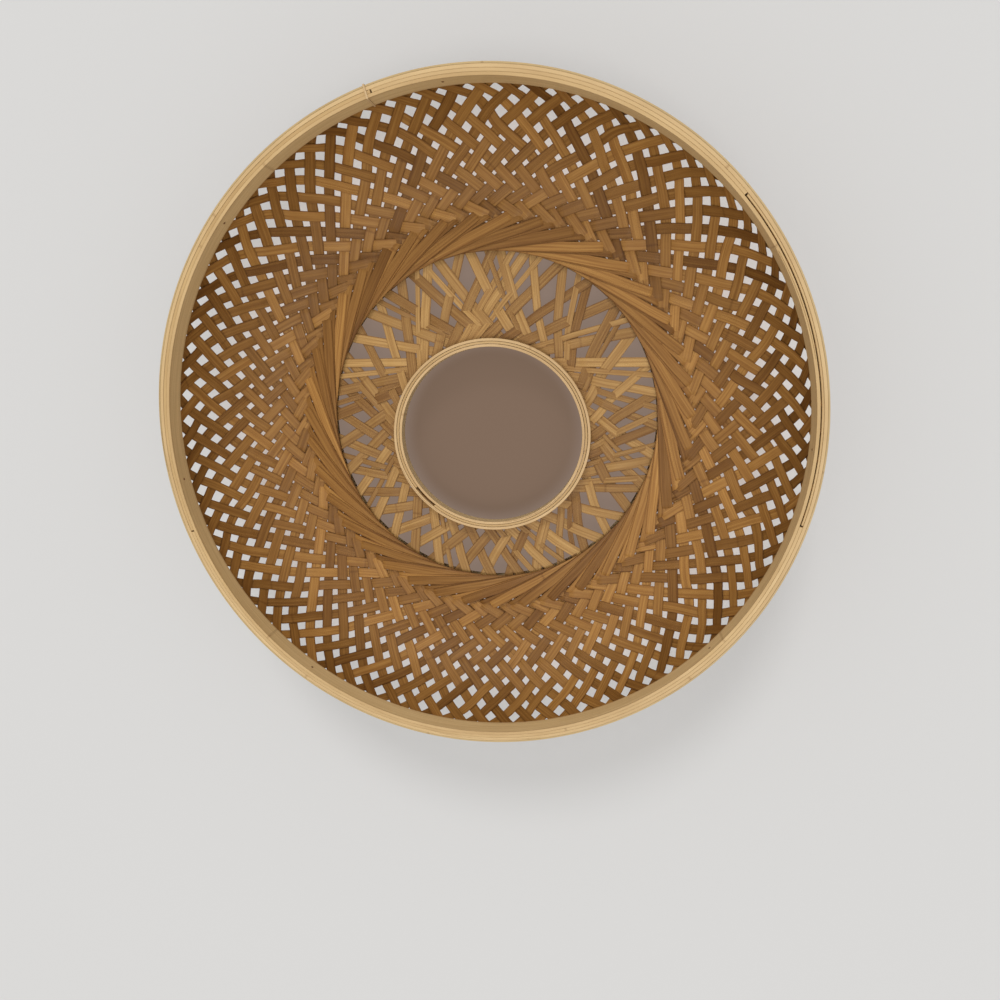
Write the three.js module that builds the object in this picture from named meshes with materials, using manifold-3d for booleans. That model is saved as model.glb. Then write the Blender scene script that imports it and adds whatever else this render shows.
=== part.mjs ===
// Bamboo serving basket: a wide plaited bowl over a plaited base with a hoop-bound hole, on a low foot.
// Millimetres, +Z up. The origin is on the surface that the basket stands on, under the rim's centre.
import * as THREE from "three";
import { mergeVertices } from "three/addons/utils/BufferGeometryUtils.js";
import Module from "manifold-3d";

// Driving dimensions: the whole basket
const FIT_GAP = 0.3; // between pieces that lie against each other
const SEGMENTS = 72; // flats round every circle
const MERGE_DISTANCE = 1e-3; // corners closer than this are one

// Driving dimensions: the rim, counted outwards from the inner hoop
const RIM_INNER_RADIUS = 179.5;
const RIM_INNER_HOOP_THICKNESS = 1.5;
const RIM_OUTER_HOOP_THICKNESS = 1.6;
const RIM_SKIN_SPLINT_THICKNESS = 0.7;
const RIM_INNER_HOOP_HEIGHT = 12;
const RIM_OUTER_HOOP_HEIGHT = 12;
const RIM_SKIN_SPLINT_HEIGHT = 10;
const CAP_SPLINT_HEIGHT = 2; // lies on the strips' cut ends, between the hoops
const CAP_UPPER_SPAN = [41.4, 106.5]; // degrees counter-clockwise from +X
const CAP_LOWER_SPAN = [200, 345];

// Driving dimensions: the splices, where a hoop's shaved ends lap
const RIM_LAP_LENGTH = 60;
const FOOT_LAP_LENGTH = 40;
const RING_LAP_LENGTH = 45;
const SHAVED_END = 0.25; // thickness left at a shaved end
const RIM_INNER_LAP_START = 12;
const RIM_OUTER_LAP_START = 262;
const RIM_SKIN_LAP_START = 188;
const FOOT_INNER_LAP_START = 75;
const FOOT_OUTER_LAP_START = 300;
const RING_INNER_LAP_START = 322;
const RING_OUTER_LAP_START = 245;

// Driving dimensions: the pegs and the tie that hold the rim together
const PEG_RADIUS = 0.9;
const PEG_SIDES = 10;
const PEG_PROUD = 0.35; // each end stands out of the rim
const PEG_HOLE_OVERRUN = 1.5; // a hole's cutter runs past the rim at both ends
const PEG_ANGLES = [95, 141, 190, 235, 318, 358];
const TIE_ANGLE = 107.5;
const TIE_WIDTH = 0.9; // along the rim
const TIE_THICKNESS = 0.5;
const TIE_CORNER_RADIUS = 0.8;

// Driving dimensions: the bowl
const BOWL_DEPTH = 68; // from the rim's top to the bowl's floor
const BOWL_WALL = 1.5; // two crossing strips
const THROAT_RADIUS = 103.4;
const BOWL_FLOOR_RADIUS = 123; // where the floor turns up into the side
const BOWL_SIDE_STEPS = 11;

// Driving dimensions: the base and the foot ring, which sit a little off the bowl's centre
const FOOT_OFFSET = [-2.5, -1];
const FOOT_HEIGHT = 16.2;
const FOOT_INNER_RADIUS = 106.1;
const FOOT_WALL = 1.5;
const FOOT_HOOP_THICKNESS = 1.5;
const FOOT_BEND_RADIUS = 1.2; // inside of the bend from the base down between the foot's hoops
const FOOT_BEND_STEPS = 3;

// Driving dimensions: the ring round the hole in the base, further off the centre than the foot
const RING_OFFSET = [-2.5, -9.7];
const RING_INNER_RADIUS = 55.9;
const RING_HOOP_THICKNESS = 1.4;
const RING_HEIGHT = 8;
const COLLAR_BEND_RADIUS = 1.2; // inside of the bend from the base up between the ring's hoops
const COLLAR_BEND_STEPS = 3;
const COLLAR_FLAT = 2; // flat of the collar's own, before it joins the base
const COLLAR_JOIN = 2; // overlap of the collar and the base

// Worked out: the rim's layers, each against the one before
const rimInnerHoopOuter = RIM_INNER_RADIUS + RIM_INNER_HOOP_THICKNESS;
const bowlTopInner = rimInnerHoopOuter + FIT_GAP;
const bowlTopOuter = bowlTopInner + BOWL_WALL;
const rimOuterHoopInner = bowlTopOuter + FIT_GAP;
const rimSkinInner = rimOuterHoopInner + RIM_OUTER_HOOP_THICKNESS + FIT_GAP;
const rimOuterRadius = rimSkinInner + RIM_SKIN_SPLINT_THICKNESS;

// Worked out: heights, from the foot up
const baseUnderside = FOOT_HEIGHT - FOOT_WALL;
const ringTop = baseUnderside + RING_HEIGHT;
const bowlFloorTop = FOOT_HEIGHT + FIT_GAP + BOWL_WALL;
const basketHeight = bowlFloorTop + BOWL_DEPTH;
const bowlTop = basketHeight - CAP_SPLINT_HEIGHT - FIT_GAP;
const rimInnerHoopLow = basketHeight - RIM_INNER_HOOP_HEIGHT;
const rimOuterHoopLow = basketHeight - RIM_OUTER_HOOP_HEIGHT;

// Worked out: the bowl's side, a quarter of an ellipse from the floor to the hoops
const sideReachR = bowlTopInner - BOWL_FLOOR_RADIUS;
const sideReachZ = rimInnerHoopLow - bowlFloorTop;

// Worked out: the foot's layers, counted outwards
const footBandInner = FOOT_INNER_RADIUS + FOOT_HOOP_THICKNESS + FIT_GAP;
const footBandOuter = footBandInner + FOOT_WALL;

// Worked out: the ring's layers, and where the collar between them joins the base
const collarInner = RING_INNER_RADIUS + RING_HOOP_THICKNESS + FIT_GAP;
const collarOuter = collarInner + FOOT_WALL;
const ringOuterHoopInner = collarOuter + FIT_GAP;
const ringShift = [RING_OFFSET[0] - FOOT_OFFSET[0], RING_OFFSET[1] - FOOT_OFFSET[1]];
const baseHoleRadius = collarOuter + COLLAR_BEND_RADIUS + COLLAR_FLAT;
const baseJoinRadius = baseHoleRadius + COLLAR_JOIN;
const baseStart = RING_INNER_RADIUS - Math.hypot(ringShift[0], ringShift[1]); // lies inside the hole

const wasm = await Module();
wasm.setup();

const basket = new THREE.Group();
const foot = new THREE.Group();
foot.position.set(FOOT_OFFSET[0], FOOT_OFFSET[1], 0);
const ring = new THREE.Group();
ring.position.set(RING_OFFSET[0], RING_OFFSET[1], 0);
basket.add(foot, ring);

const FINISHES = {
  plaitedStrip: { color: 0xa97b45, roughness: 0.62, metalness: 0 },
  footStrip: { color: 0xb98e58, roughness: 0.62, metalness: 0 },
  hoop: { color: 0xc9a873, roughness: 0.5, metalness: 0 },
  greenSkin: { color: 0xa8a072, roughness: 0.42, metalness: 0 },
  peg: { color: 0x8a6236, roughness: 0.6, metalness: 0 },
};

function addPiece(parent, name, geometry, finish) {
  geometry.computeVertexNormals();
  const mesh = new THREE.Mesh(geometry, new THREE.MeshStandardMaterial(FINISHES[finish]));
  mesh.name = name;
  parent.add(mesh);
  return mesh;
}

// Shapes shared by the pieces

// A wall of even thickness: the line of [radius, height] points is its inner face.
function wallOutline(line, thickness) {
  const outside = line.map(([radius, height], i) => {
    const [r0, z0] = line[Math.max(i - 1, 0)];
    const [r1, z1] = line[Math.min(i + 1, line.length - 1)];
    const length = Math.hypot(r1 - r0, z1 - z0);
    return [radius + (thickness * (z1 - z0)) / length, height - (thickness * (r1 - r0)) / length];
  });
  return [...outside, ...[...line].reverse(), outside[0]];
}

// A closed outline turned round the Z axis.
function turned(outline) {
  const points = outline.map(([radius, height]) => new THREE.Vector2(radius, height));
  return new THREE.LatheGeometry(points, SEGMENTS).rotateX(Math.PI / 2);
}

function arcPoints(centreR, centreZ, radiusR, radiusZ, fromDeg, toDeg, steps) {
  return Array.from({ length: steps + 1 }, (_, i) => {
    const angle = THREE.MathUtils.degToRad(fromDeg + ((toDeg - fromDeg) * i) / steps);
    return [centreR + radiusR * Math.cos(angle), centreZ + radiusZ * Math.sin(angle)];
  });
}

// A flat splint bent to a curve. Each station gives its angle in radians and its two radii.
function bentSplint(stations, low, high) {
  const corners = [];
  for (const { angle, near, far } of stations) {
    for (const [radius, height] of [[near, low], [far, low], [far, high], [near, high]]) {
      corners.push(radius * Math.cos(angle), radius * Math.sin(angle), height);
    }
  }
  const faces = [];
  for (let i = 0; i < stations.length - 1; i++) {
    for (let side = 0; side < 4; side++) {
      const a = 4 * i + side;
      const b = 4 * i + ((side + 1) % 4);
      faces.push([a, a + 4, b], [b, a + 4, b + 4]);
    }
  }
  const last = 4 * (stations.length - 1);
  faces.push([0, 1, 2], [0, 2, 3]);
  faces.push([last, last + 2, last + 1], [last, last + 3, last + 2]);
  const geometry = new THREE.BufferGeometry();
  geometry.setAttribute("position", new THREE.Float32BufferAttribute(corners, 3));
  const turnsBack = stations[1].angle < stations[0].angle;
  const inverted = stations[0].far < stations[0].near;
  geometry.setIndex(faces.flatMap(([a, b, c]) => (turnsBack === inverted ? [a, b, c] : [a, c, b])));
  return geometry;
}

// A hoop is one splint whose shaved ends lap within its own thickness. It fits against seatRadius and
// builds up on one side of it: side 1 is outwards and side -1 inwards. The tail lies over the head.
function lappedHoop({ seatRadius, side, thickness, low, high, startDeg, lapLength, turn }) {
  const step = (2 * Math.PI) / SEGMENTS;
  const lap = Math.ceil(lapLength / seatRadius / step) * step;
  const start = Math.round(THREE.MathUtils.degToRad(startDeg) / step) * step;
  const headEnd = Math.max(thickness - FIT_GAP - SHAVED_END, SHAVED_END);
  const headDepth = (along) => SHAVED_END + ((headEnd - SHAVED_END) * along) / lap;
  const count = Math.round((2 * Math.PI + lap) / step);
  const stations = [];
  for (let i = 0; i <= count; i++) {
    const along = i * step;
    const past = along - 2 * Math.PI; // how far the tail has run over the head
    const isHead = along < lap + step / 2;
    const isTail = past > -step / 2;
    const near = isTail ? headDepth(past) + FIT_GAP : 0;
    const far = isHead ? headDepth(along) : Math.max(thickness, near + SHAVED_END);
    stations.push({
      angle: start + turn * along,
      near: seatRadius + side * near,
      far: seatRadius + side * far,
    });
  }
  return bentSplint(stations, low, high);
}

// A plain length of splint over part of the circle.
function splintLength(innerRadius, thickness, low, high, [fromDeg, toDeg]) {
  const steps = Math.ceil(((toDeg - fromDeg) / 360) * SEGMENTS);
  const stations = Array.from({ length: steps + 1 }, (_, i) => ({
    angle: THREE.MathUtils.degToRad(fromDeg + ((toDeg - fromDeg) * i) / steps),
    near: innerRadius,
    far: innerRadius + thickness,
  }));
  return bentSplint(stations, low, high);
}

function toSolid(geometry) {
  const bare = geometry.clone();
  bare.deleteAttribute("normal");
  bare.deleteAttribute("uv");
  const merged = mergeVertices(bare, MERGE_DISTANCE);
  const vertProperties = merged.attributes.position.array;
  const triVerts = new Uint32Array(merged.index.array);
  return new wasm.Manifold(new wasm.Mesh({ numProp: 3, vertProperties, triVerts }));
}

function toGeometry(solid) {
  const mesh = solid.getMesh();
  const geometry = new THREE.BufferGeometry();
  geometry.setAttribute("position", new THREE.BufferAttribute(mesh.vertProperties, 3));
  geometry.setIndex(new THREE.BufferAttribute(mesh.triVerts, 1));
  return geometry;
}

// Rim pegs and tie: where they go, and the holes that they need

// A round bar that points outwards along a radius of the rim.
function radialBar(radius, fromRadius, toRadius, height, angleDeg) {
  return new THREE.CylinderGeometry(radius, radius, toRadius - fromRadius, PEG_SIDES)
    .rotateZ(-Math.PI / 2)
    .translate((fromRadius + toRadius) / 2, 0, height)
    .rotateZ(THREE.MathUtils.degToRad(angleDeg));
}

const pegHeight = basketHeight - RIM_SKIN_SPLINT_HEIGHT / 2;
const pegHoleRadius = PEG_RADIUS + FIT_GAP;
const pegHoleFrom = RIM_INNER_RADIUS - PEG_HOLE_OVERRUN;
const pegHoleTo = rimOuterRadius + PEG_HOLE_OVERRUN;

function withPegHoles(geometry) {
  const drilled = PEG_ANGLES.reduce((solid, angle) => {
    const hole = radialBar(pegHoleRadius, pegHoleFrom, pegHoleTo, pegHeight, angle);
    return solid.subtract(toSolid(hole));
  }, toSolid(geometry));
  return toGeometry(drilled);
}

// The tie is a flat band of cane round the whole rim, drawn here in the plane of a radius.
const tieInside = {
  near: RIM_INNER_RADIUS - FIT_GAP,
  far: rimOuterRadius + FIT_GAP,
  low: Math.min(rimInnerHoopLow, rimOuterHoopLow) - FIT_GAP,
  high: basketHeight + FIT_GAP,
};

function roundedRectangle(path, near, far, low, high, radius) {
  path.moveTo(near + radius, low);
  path.lineTo(far - radius, low);
  path.absarc(far - radius, low + radius, radius, -Math.PI / 2, 0, false);
  path.lineTo(far, high - radius);
  path.absarc(far - radius, high - radius, radius, 0, Math.PI / 2, false);
  path.lineTo(near + radius, high);
  path.absarc(near + radius, high - radius, radius, Math.PI / 2, Math.PI, false);
  path.lineTo(near, low + radius);
  path.absarc(near + radius, low + radius, radius, Math.PI, 1.5 * Math.PI, false);
  return path;
}

// Stands a shape drawn in radius and height across the rim at the tie's angle.
function acrossRim(geometry, width) {
  return geometry
    .translate(0, 0, -width / 2)
    .rotateX(Math.PI / 2)
    .rotateZ(THREE.MathUtils.degToRad(TIE_ANGLE));
}

function tieGeometry() {
  const { near, far, low, high } = tieInside;
  const t = TIE_THICKNESS;
  const outer = roundedRectangle(new THREE.Shape(), near - t, far + t, low - t, high + t, TIE_CORNER_RADIUS);
  const innerRadius = TIE_CORNER_RADIUS - t;
  outer.holes.push(roundedRectangle(new THREE.Path(), near, far, low, high, innerRadius));
  const options = { depth: TIE_WIDTH, bevelEnabled: false, curveSegments: 3 };
  return acrossRim(new THREE.ExtrudeGeometry(outer, options), TIE_WIDTH);
}

// The gap between two strips that the tie goes through, just under the hoops.
function tieSlot() {
  const width = TIE_WIDTH + 2 * FIT_GAP;
  const height = TIE_THICKNESS + 2 * FIT_GAP;
  const depth = tieInside.far - tieInside.near;
  const slot = new THREE.BoxGeometry(depth, height, width);
  slot.translate((tieInside.near + tieInside.far) / 2, tieInside.low - TIE_THICKNESS / 2, width / 2);
  return acrossRim(slot, width);
}

// Bowl: floor round the open throat, side, and the upright band that the hoops hold
function bowlWeave() {
  const sideTop = bowlFloorTop + sideReachZ;
  const side = arcPoints(BOWL_FLOOR_RADIUS, sideTop, sideReachR, sideReachZ, -90, 0, BOWL_SIDE_STEPS);
  const line = [[THROAT_RADIUS, bowlFloorTop], ...side, [bowlTopInner, bowlTop]];
  const shell = toSolid(turned(wallOutline(line, BOWL_WALL)));
  return withPegHoles(toGeometry(shell.subtract(toSolid(tieSlot()))));
}

// The base from the hole outwards, and the band that turns down between the foot's hoops
function baseAndBand() {
  const bend = FOOT_BEND_RADIUS;
  const corner = arcPoints(footBandInner - bend, baseUnderside - bend, bend, bend, 0, 90, FOOT_BEND_STEPS);
  const line = [[footBandInner, 0], ...corner, [baseStart, baseUnderside]];
  const hole = new THREE.CylinderGeometry(baseHoleRadius, baseHoleRadius, 2 * FOOT_HEIGHT, SEGMENTS)
    .rotateX(Math.PI / 2)
    .translate(ringShift[0], ringShift[1], FOOT_HEIGHT);
  return toSolid(turned(wallOutline(line, FOOT_WALL))).subtract(toSolid(hole));
}

// The strips' inner ends, turned up between the ring's hoops
function baseCollar() {
  const bend = COLLAR_BEND_RADIUS;
  const corner = arcPoints(collarOuter + bend, FOOT_HEIGHT + bend, bend, bend, 180, 270, COLLAR_BEND_STEPS);
  const flat = [[baseHoleRadius, FOOT_HEIGHT], [baseJoinRadius, FOOT_HEIGHT]];
  const line = [[collarOuter, ringTop - FIT_GAP], ...corner, ...flat];
  return toSolid(turned(wallOutline(line, FOOT_WALL)).translate(ringShift[0], ringShift[1], 0));
}

function footWeave() {
  return toGeometry(baseAndBand().add(baseCollar()));
}

addPiece(basket, "bowl_weave", bowlWeave(), "plaitedStrip");
addPiece(foot, "foot_weave", footWeave(), "footStrip");

// Rim
const rimInnerHoop = lappedHoop({
  seatRadius: rimInnerHoopOuter,
  side: -1,
  thickness: RIM_INNER_HOOP_THICKNESS,
  low: rimInnerHoopLow,
  high: basketHeight,
  startDeg: RIM_INNER_LAP_START,
  lapLength: RIM_LAP_LENGTH,
  turn: 1,
});
const rimOuterHoop = lappedHoop({
  seatRadius: rimOuterHoopInner,
  side: 1,
  thickness: RIM_OUTER_HOOP_THICKNESS,
  low: rimOuterHoopLow,
  high: basketHeight,
  startDeg: RIM_OUTER_LAP_START,
  lapLength: RIM_LAP_LENGTH,
  turn: 1,
});
const rimSkinSplint = lappedHoop({
  seatRadius: rimSkinInner,
  side: 1,
  thickness: RIM_SKIN_SPLINT_THICKNESS,
  low: basketHeight - RIM_SKIN_SPLINT_HEIGHT,
  high: basketHeight,
  startDeg: RIM_SKIN_LAP_START,
  lapLength: RIM_LAP_LENGTH,
  turn: -1,
});
addPiece(basket, "rim_inner_hoop", withPegHoles(rimInnerHoop), "hoop");
addPiece(basket, "rim_outer_hoop", withPegHoles(rimOuterHoop), "hoop");
addPiece(basket, "rim_skin_splint", withPegHoles(rimSkinSplint), "greenSkin");

const capLow = basketHeight - CAP_SPLINT_HEIGHT;
for (const [name, span] of [["upper", CAP_UPPER_SPAN], ["lower", CAP_LOWER_SPAN]]) {
  const cap = splintLength(bowlTopInner, BOWL_WALL, capLow, basketHeight, span);
  addPiece(basket, `rim_cap_splint_${name}`, cap, "hoop");
}

PEG_ANGLES.forEach((angle, i) => {
  const from = RIM_INNER_RADIUS - PEG_PROUD;
  const to = rimOuterRadius + PEG_PROUD;
  addPiece(basket, `rim_peg_${i + 1}`, radialBar(PEG_RADIUS, from, to, pegHeight, angle), "peg");
});
addPiece(basket, "rim_tie", tieGeometry(), "hoop");

// Hoops of the foot ring, on both sides of the base's turned-down band
const footInnerHoop = lappedHoop({
  seatRadius: footBandInner - FIT_GAP,
  side: -1,
  thickness: FOOT_HOOP_THICKNESS,
  low: 0,
  high: baseUnderside - FOOT_BEND_RADIUS - FIT_GAP,
  startDeg: FOOT_INNER_LAP_START,
  lapLength: FOOT_LAP_LENGTH,
  turn: 1,
});
const footOuterHoop = lappedHoop({
  seatRadius: footBandOuter + FIT_GAP,
  side: 1,
  thickness: FOOT_HOOP_THICKNESS,
  low: 0,
  high: FOOT_HEIGHT,
  startDeg: FOOT_OUTER_LAP_START,
  lapLength: FOOT_LAP_LENGTH,
  turn: 1,
});
addPiece(foot, "foot_top_inner_hoop", footInnerHoop, "hoop");
addPiece(foot, "foot_top_outer_hoop", footOuterHoop, "hoop");

// Ring round the hole in the base
const ringInnerHoop = lappedHoop({
  seatRadius: collarInner - FIT_GAP,
  side: -1,
  thickness: RING_HOOP_THICKNESS,
  low: baseUnderside,
  high: ringTop,
  startDeg: RING_INNER_LAP_START,
  lapLength: RING_LAP_LENGTH,
  turn: -1,
});
const ringOuterHoop = lappedHoop({
  seatRadius: ringOuterHoopInner,
  side: 1,
  thickness: RING_HOOP_THICKNESS,
  low: FOOT_HEIGHT + COLLAR_BEND_RADIUS + FIT_GAP,
  high: ringTop,
  startDeg: RING_OUTER_LAP_START,
  lapLength: RING_LAP_LENGTH,
  turn: -1,
});
addPiece(ring, "ring_inner_hoop", ringInnerHoop, "hoop");
addPiece(ring, "ring_outer_hoop", ringOuterHoop, "hoop");

export default basket;
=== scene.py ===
"""Bamboo serving basket: a wide plaited bowl over a plaited base with a hooped hole, on a low foot.
Lengths are millimetres up to the moment that a mesh is made in metres. Angles are radians, or degrees
where a name says so. +Z is up out of the bowl's mouth, and +Y is the top of the picture."""
import math

import bpy
import numpy as np
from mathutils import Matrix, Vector


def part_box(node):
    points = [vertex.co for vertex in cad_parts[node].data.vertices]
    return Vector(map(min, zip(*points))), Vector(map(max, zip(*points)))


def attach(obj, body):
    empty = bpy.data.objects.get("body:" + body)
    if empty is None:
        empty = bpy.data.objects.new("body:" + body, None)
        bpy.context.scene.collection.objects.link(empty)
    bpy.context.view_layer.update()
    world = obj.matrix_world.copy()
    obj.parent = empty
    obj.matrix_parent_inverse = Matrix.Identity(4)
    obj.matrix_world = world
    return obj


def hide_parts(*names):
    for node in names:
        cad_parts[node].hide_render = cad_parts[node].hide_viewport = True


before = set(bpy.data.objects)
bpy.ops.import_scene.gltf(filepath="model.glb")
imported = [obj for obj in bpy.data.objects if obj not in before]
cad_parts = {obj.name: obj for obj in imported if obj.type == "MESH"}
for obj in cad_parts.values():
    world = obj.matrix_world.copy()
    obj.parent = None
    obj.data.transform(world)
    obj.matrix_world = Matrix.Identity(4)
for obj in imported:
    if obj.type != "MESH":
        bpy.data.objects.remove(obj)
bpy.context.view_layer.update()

MM = 0.001
FULL_TURN = 2 * math.pi


def node_box(node):
    """A node's lowest and highest corners, in millimetres."""
    low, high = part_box(node)
    return np.array(low) / MM, np.array(high) / MM


def node_reach(node):
    """How far a round node reaches from its own centre line."""
    low, high = node_box(node)
    return (high[0] - low[0]) / 2


def node_centre(node):
    low, high = node_box(node)
    return (low[:2] + high[:2]) / 2


# Sizes read from the frame
bowl_low, bowl_high = node_box("bowl_weave")
rim_hoop_low, rim_top = (corner[2] for corner in node_box("rim_inner_hoop"))
outer_hoop_low = node_box("rim_outer_hoop")[0][2]
skin_low = node_box("rim_skin_splint")[0][2]
cap_low = node_box("rim_cap_splint_upper")[0][2]
bowl_reach = node_reach("bowl_weave")
foot_centre = node_centre("foot_weave")
foot_reach = node_reach("foot_weave")
base_top = node_box("foot_top_outer_hoop")[1][2]
foot_inner_hoop_high = node_box("foot_top_inner_hoop")[1][2]
foot_inner_hoop_reach = node_reach("foot_top_inner_hoop")
foot_outer_hoop_reach = node_reach("foot_top_outer_hoop")
ring_centre = node_centre("ring_outer_hoop")
ring_low, ring_top = (corner[2] for corner in node_box("ring_inner_hoop"))
ring_outer_reach = node_reach("ring_outer_hoop")
ring_outer_low = node_box("ring_outer_hoop")[0][2]

# Walls and clearances, as in the frame
WALL = 1.5
FIT_GAP = 0.3
RIM_INNER_THICKNESS = 1.5
RIM_OUTER_THICKNESS = 1.6
RIM_SKIN_THICKNESS = 0.7
FOOT_HOOP_THICKNESS = 1.5
RING_THICKNESS = 1.4
BEND_INSIDE = 1.2
BOWL_FLOOR_RADIUS = 123

# The bowl's strips: each is tangent to the throat and has one arm on either side of it
BOWL_STRIPS = 78
BOWL_FIRST_STRIP_DEG = 1.54
BOWL_TANGENT_RADIUS = 106.3
BOWL_STRIP_WIDTH = 6.25
BOWL_WIDTH_SPREAD = 0.035  # from strip to strip
BOWL_WIDTH_WANDER = 0.012  # along a strip
BOWL_STRIP_THICKNESS = 0.42
BOWL_STATION_STEP = 1.35
BOWL_GROUPS = 4
STRIP_CHAMFER = 0.1

# Where the bowl's two ways of strips change places, counted in crossings out from the throat
BOWL_CHANGES = (13.5, 15.5, 17.5, 19.5, 21.5, 23.5, 25.5)
BOWL_CHANGE_HALF_WIDTH = 0.3

# How an arm of a bowl strip lies: distances out from where it touches the throat, and values there.
# Strips leave the throat in pairs that lie nearly on each other, and are evenly spread by the side
EVENNESS_ALONG = ((0, 48, 62, 74, 92), (0.26, 0.3, 0.55, 0.86, 1.0))
DEPTH_ALONG = ((0, 26, 31, 47, 62, 75, 95), (0, 1.33, 1.4, 1.4, 0.64, 0.52, 0.4))
PAIR_LIFT_ALONG = ((0, 40, 52, 76, 92), (0.13, 0.13, 0.27, 0.22, 0.0))
TILT_ALONG = ((0, 12, 28, 48, 66, 88), (0, 0, 0.125, 0.125, 0.1, 0.0))
THROAT_SLOPE = 0.052  # how steeply the two arms part at the throat
THROAT_SLOPE_LENGTH = 20
THROAT_RAISE = 0.75
THROAT_RAISE_FADE = (50, 30)  # where it begins to fade, and over what length
WANDER = 0.16  # of half the spacing
WANDER_RISE = (60, 60)

# The base's strips: each starts between the ring's hoops and ends between the foot's hoops. Hand 1 runs
# clockwise on its way out and hand -1 the other way. Those of one hand are tangent to one circle, whose
# centre was never quite the ring's
BASE_STRIPS = 34
BASE_TANGENT_RADIUS = {1: 42.0, -1: 40.5}
BASE_STRIP_CENTRE = {1: (-6.0, -6.0), -1: (-6.0, -3.5)}
BASE_FIRST_STRIP_DEG = {1: 6.1, -1: 6.15}
BASE_STRAY = 0.05  # of the spacing
BASE_STRIP_WIDTH = 6.1
BASE_WIDTH_SPREAD = 0.09
BASE_WIDTH_FIT = 0.97  # the most that a strip may fill of its room, which narrows towards the ring
BASE_STRIP_THICKNESS = 0.48
BASE_LIFT = 0.4
DOUBLED_SHARE = 0.4  # the strips that have a narrow one laid beside them
DOUBLED_ASIDE = (0.38, 0.6)  # of the way to the next strip
DOUBLED_RAISE = 0.2
DOUBLED_WIDTH = 3.4
COLLAR_DROP = 3  # the slanting strips end this far below the ring's top, under the edging
COLLAR_FLAT = 2
FOOT_DROP = 2.1  # the slanting strips end this far above the floor, between the foot's hoops
COLLAR_STATIONS = 16
BASE_STATIONS = 64

# Where the base's two ways of strips change places, counted in crossings out from their own circle
BASE_CHANGES = (9.5, 10.5, 11.5, 12.5)
BASE_CHANGE_HALF_WIDTH = 0.27

# The ring was bound wider than long and a little to the right, and the strips round it follow
RING_WIDER = 0.036
RING_ASIDE = 1.9
RING_EASE = 24

# A wandering strip sways in two waves laid on each other
DRIFT_WAVE = 90.0
DRIFT_HARMONICS = (1.0, 1.9)

# How far the corners of a table of values are rounded
EASE_BLUR = 3.0
EASE_STEPS = 9

# Points on the lines that the walls follow
BOWL_STEPS = 400
LONG_STEPS = 160
BEND_STEPS = 12
COLLAR_STEPS = 8
FLAT_STEPS = 4

# The hoops. A splint's number gives it a tone and fibres of its own. A hoop turns clockwise where its
# turn is negative, and what it turns beyond 360 degrees is its lap
HOOPS = {
    "inner_rim_hoop": {"number": 201, "start_deg": 12, "turn_deg": 380},
    "outer_rim_hoop": {"number": 203, "start_deg": 262, "turn_deg": 380},
    "rim_skin": {"number": 205, "start_deg": 188, "turn_deg": -380},
    "upper_cap_splint": {"number": 207, "start_deg": 41.4, "turn_deg": 65.1},
    "lower_cap_splint": {"number": 209, "start_deg": 200, "turn_deg": 145},
    "left_edging": {"number": 219, "start_deg": 106.8, "turn_deg": 92.9},
    "right_edging": {"number": 220, "start_deg": 345.3, "turn_deg": 55.8},
    "inner_foot_hoop": {"number": 210, "start_deg": 75, "turn_deg": 382},
    "outer_foot_hoop": {"number": 212, "start_deg": 300, "turn_deg": 382},
    "inner_ring_hoop": {"number": 215, "start_deg": 322, "turn_deg": -404},
    "outer_ring_hoop": {"number": 217, "start_deg": 245, "turn_deg": -404},
    "ring_edging": {"number": 216, "start_deg": 232, "turn_deg": 344},
}
BASE_FIRST_NUMBER = {(1, False): 100, (-1, False): 150, (1, True): 300, (-1, True): 350}  # hand, doubled
FIRST_PEG_NUMBER = 221
TIE_NUMBER = 231

HOOP_STATION_DEG = 1.0
SHAVED_END = 0.25  # the thickness of a hoop's shaved end
SKIN_SHAVED_END = 0.2
LAP_STEP = 0.03  # of the lap: over this the hoop swells to its full thickness
SWELL = 0.11  # hoops are pressed together, each a little into the clearance that the frame keeps
FOOT_CHAMFER = 0.25
RIM_CHAMFER = 0.14
THIN_CHAMFER = 0.12  # of the skin splint, the ring and the tie
CHAMFER_LIMIT = 0.8  # of half a splint's thickness

# The edgings between hoops, which close the groove over the strips' ends
EDGING_CLEARANCE = 0.05
RIM_EDGINGS = {  # the gap inside each, and how far below the rim's top it lies
    "left_edging": (-SWELL, 0.15),
    "right_edging": (0.55, 0.35),
}
RING_EDGING_DEPTH = 0.9
RING_EDGING_DROP = 0.12

SHARP_DEG = 32
SEED = 78


# Splint meshes


def splint_section(width, thickness, chamfer):
    """The eight corners of a flat splint's section, for arrays of widths and thicknesses."""
    u, v = width / 2, thickness / 2
    c = np.minimum(chamfer, CHAMFER_LIMIT * v)
    across = [-u + c, u - c, u, u, u - c, -u + c, -u, -u]
    through = [v, v, v - c, -v + c, -v, -v, -v + c, v - c]
    return np.stack(across, -1), np.stack(through, -1)


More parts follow.
